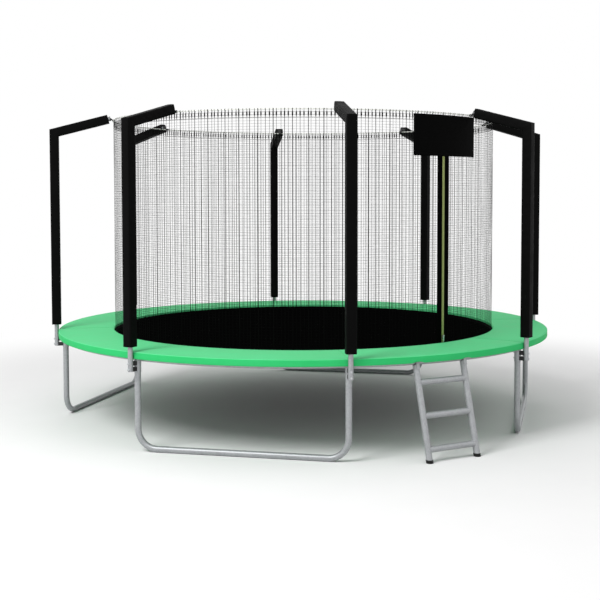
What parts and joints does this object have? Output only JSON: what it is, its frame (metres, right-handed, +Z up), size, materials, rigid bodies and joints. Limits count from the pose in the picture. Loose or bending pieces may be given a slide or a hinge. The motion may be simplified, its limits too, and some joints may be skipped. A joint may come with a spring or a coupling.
{
  "type": "garden trampoline",
  "caption": "Round garden trampoline with a sprung mat, a padded edge, an inner safety net on padded poles, a zip door and a ladder.",
  "frame": {"origin": "on the ground, under the centre of the mat", "axes": "+Z up; -Y towards the front, where the picture was taken from; +X to its right; the door and the ladder are at the front right"},
  "size_m": [4.4064, 4.4064, 2.6218],
  "materials": {
    "galvanised_steel": "hot-dip galvanised tube, satin",
    "zinc_steel": "bright zinc-plated wire and bolts",
    "sleeve_cover": "black coated cloth over foam",
    "black_plastic": "moulded black plastic",
    "black_webbing": "black woven webbing",
    "mat_cloth": "black woven jumping cloth",
    "pad_cover": "light green coated cloth over foam, satin",
    "net_cord": "knotted plastic cord",
    "net_webbing": "sewn net hem",
    "glass_fibre": "glass-fibre rod",
    "zip_teeth": "moulded zip teeth, pale yellow-green",
    "sign_sheet": "plain black coated cloth",
    "black_rubber": "moulded black rubber"
  },
  "bodies": {
    "frame": {"top_rail_1": "galvanised_steel", "top_rail_2": "galvanised_steel", "top_rail_3": "galvanised_steel", "top_rail_4": "galvanised_steel", "top_rail_5": "galvanised_steel", "top_rail_6": "galvanised_steel", "top_rail_7": "galvanised_steel", "top_rail_8": "galvanised_steel", "leg_upright_1": "galvanised_steel", "leg_upright_2": "galvanised_steel", "leg_upright_3": "galvanised_steel", "leg_upright_4": "galvanised_steel", "leg_upright_5": "galvanised_steel", "leg_upright_6": "galvanised_steel", "leg_upright_7": "galvanised_steel", "leg_upright_8": "galvanised_steel", "leg_base_1": "galvanised_steel", "leg_base_2": "galvanised_steel", "leg_base_3": "galvanised_steel", "leg_base_4": "galvanised_steel", "net_pole_1": "galvanised_steel", "net_pole_2": "galvanised_steel", "net_pole_3": "galvanised_steel", "net_pole_4": "galvanised_steel", "net_pole_5": "galvanised_steel", "net_pole_6": "galvanised_steel", "net_pole_7": "galvanised_steel", "net_pole_8": "galvanised_steel", "pole_sleeve_1": "sleeve_cover", "pole_sleeve_2": "sleeve_cover", "pole_sleeve_3": "sleeve_cover", "pole_sleeve_4": "sleeve_cover", "pole_sleeve_5": "sleeve_cover", "pole_sleeve_6": "sleeve_cover", "pole_sleeve_7": "sleeve_cover", "pole_sleeve_8": "sleeve_cover", "pole_spacers": "black_plastic", "pole_bolts": "zinc_steel", "pole_caps": "black_plastic", "springs": "zinc_steel", "safety_pad": "pad_cover", "net_mesh": "net_cord", "net_top_band": "net_webbing", "net_bottom_band": "net_webbing", "net_hoop": "glass_fibre", "door_band": "black_webbing", "zip_chain": "zip_teeth", "blank_sign": "sign_sheet"},
    "mat": {"jumping_mat": "mat_cloth", "ring_tabs": "black_webbing", "mat_rings": "zinc_steel"},
    "zip_slider": {"zip_slider": "zinc_steel"},
    "zip_pull": {"zip_pull": "zinc_steel"},
    "ladder": {"ladder_rail_left": "galvanised_steel", "ladder_rail_right": "galvanised_steel", "ladder_rung_1": "galvanised_steel", "ladder_rung_2": "galvanised_steel", "ladder_rung_3": "galvanised_steel", "ladder_hooks": "galvanised_steel", "ladder_feet": "black_rubber"}
  },
  "joints": [
    {"name": "mat_bounce", "type": "slide", "parent": "frame", "child": "mat", "axis": [0, 0, 1], "range_m": [-0.18, 0], "stiffness_N_per_m": 6000, "springref_m": 0.08, "deforming": ["springs"]},
    {"name": "ladder_swing", "type": "hinge", "parent": "frame", "child": "ladder", "pos_m": [0.99844, -1.84658, 0.711], "axis": [-0.8796, -0.4756, 0], "range_deg": [0, 30]},
    {"name": "zip_travel", "type": "slide", "parent": "frame", "child": "zip_slider", "axis": [0, 0, 1], "range_m": [0, 1.4]},
    {"name": "pull_flip", "type": "hinge", "parent": "zip_slider", "child": "zip_pull", "pos_m": [1.10274, -1.28659, 0.813], "axis": [-0.7593, -0.6508, 0], "range_deg": [0, 150]}
  ]
}
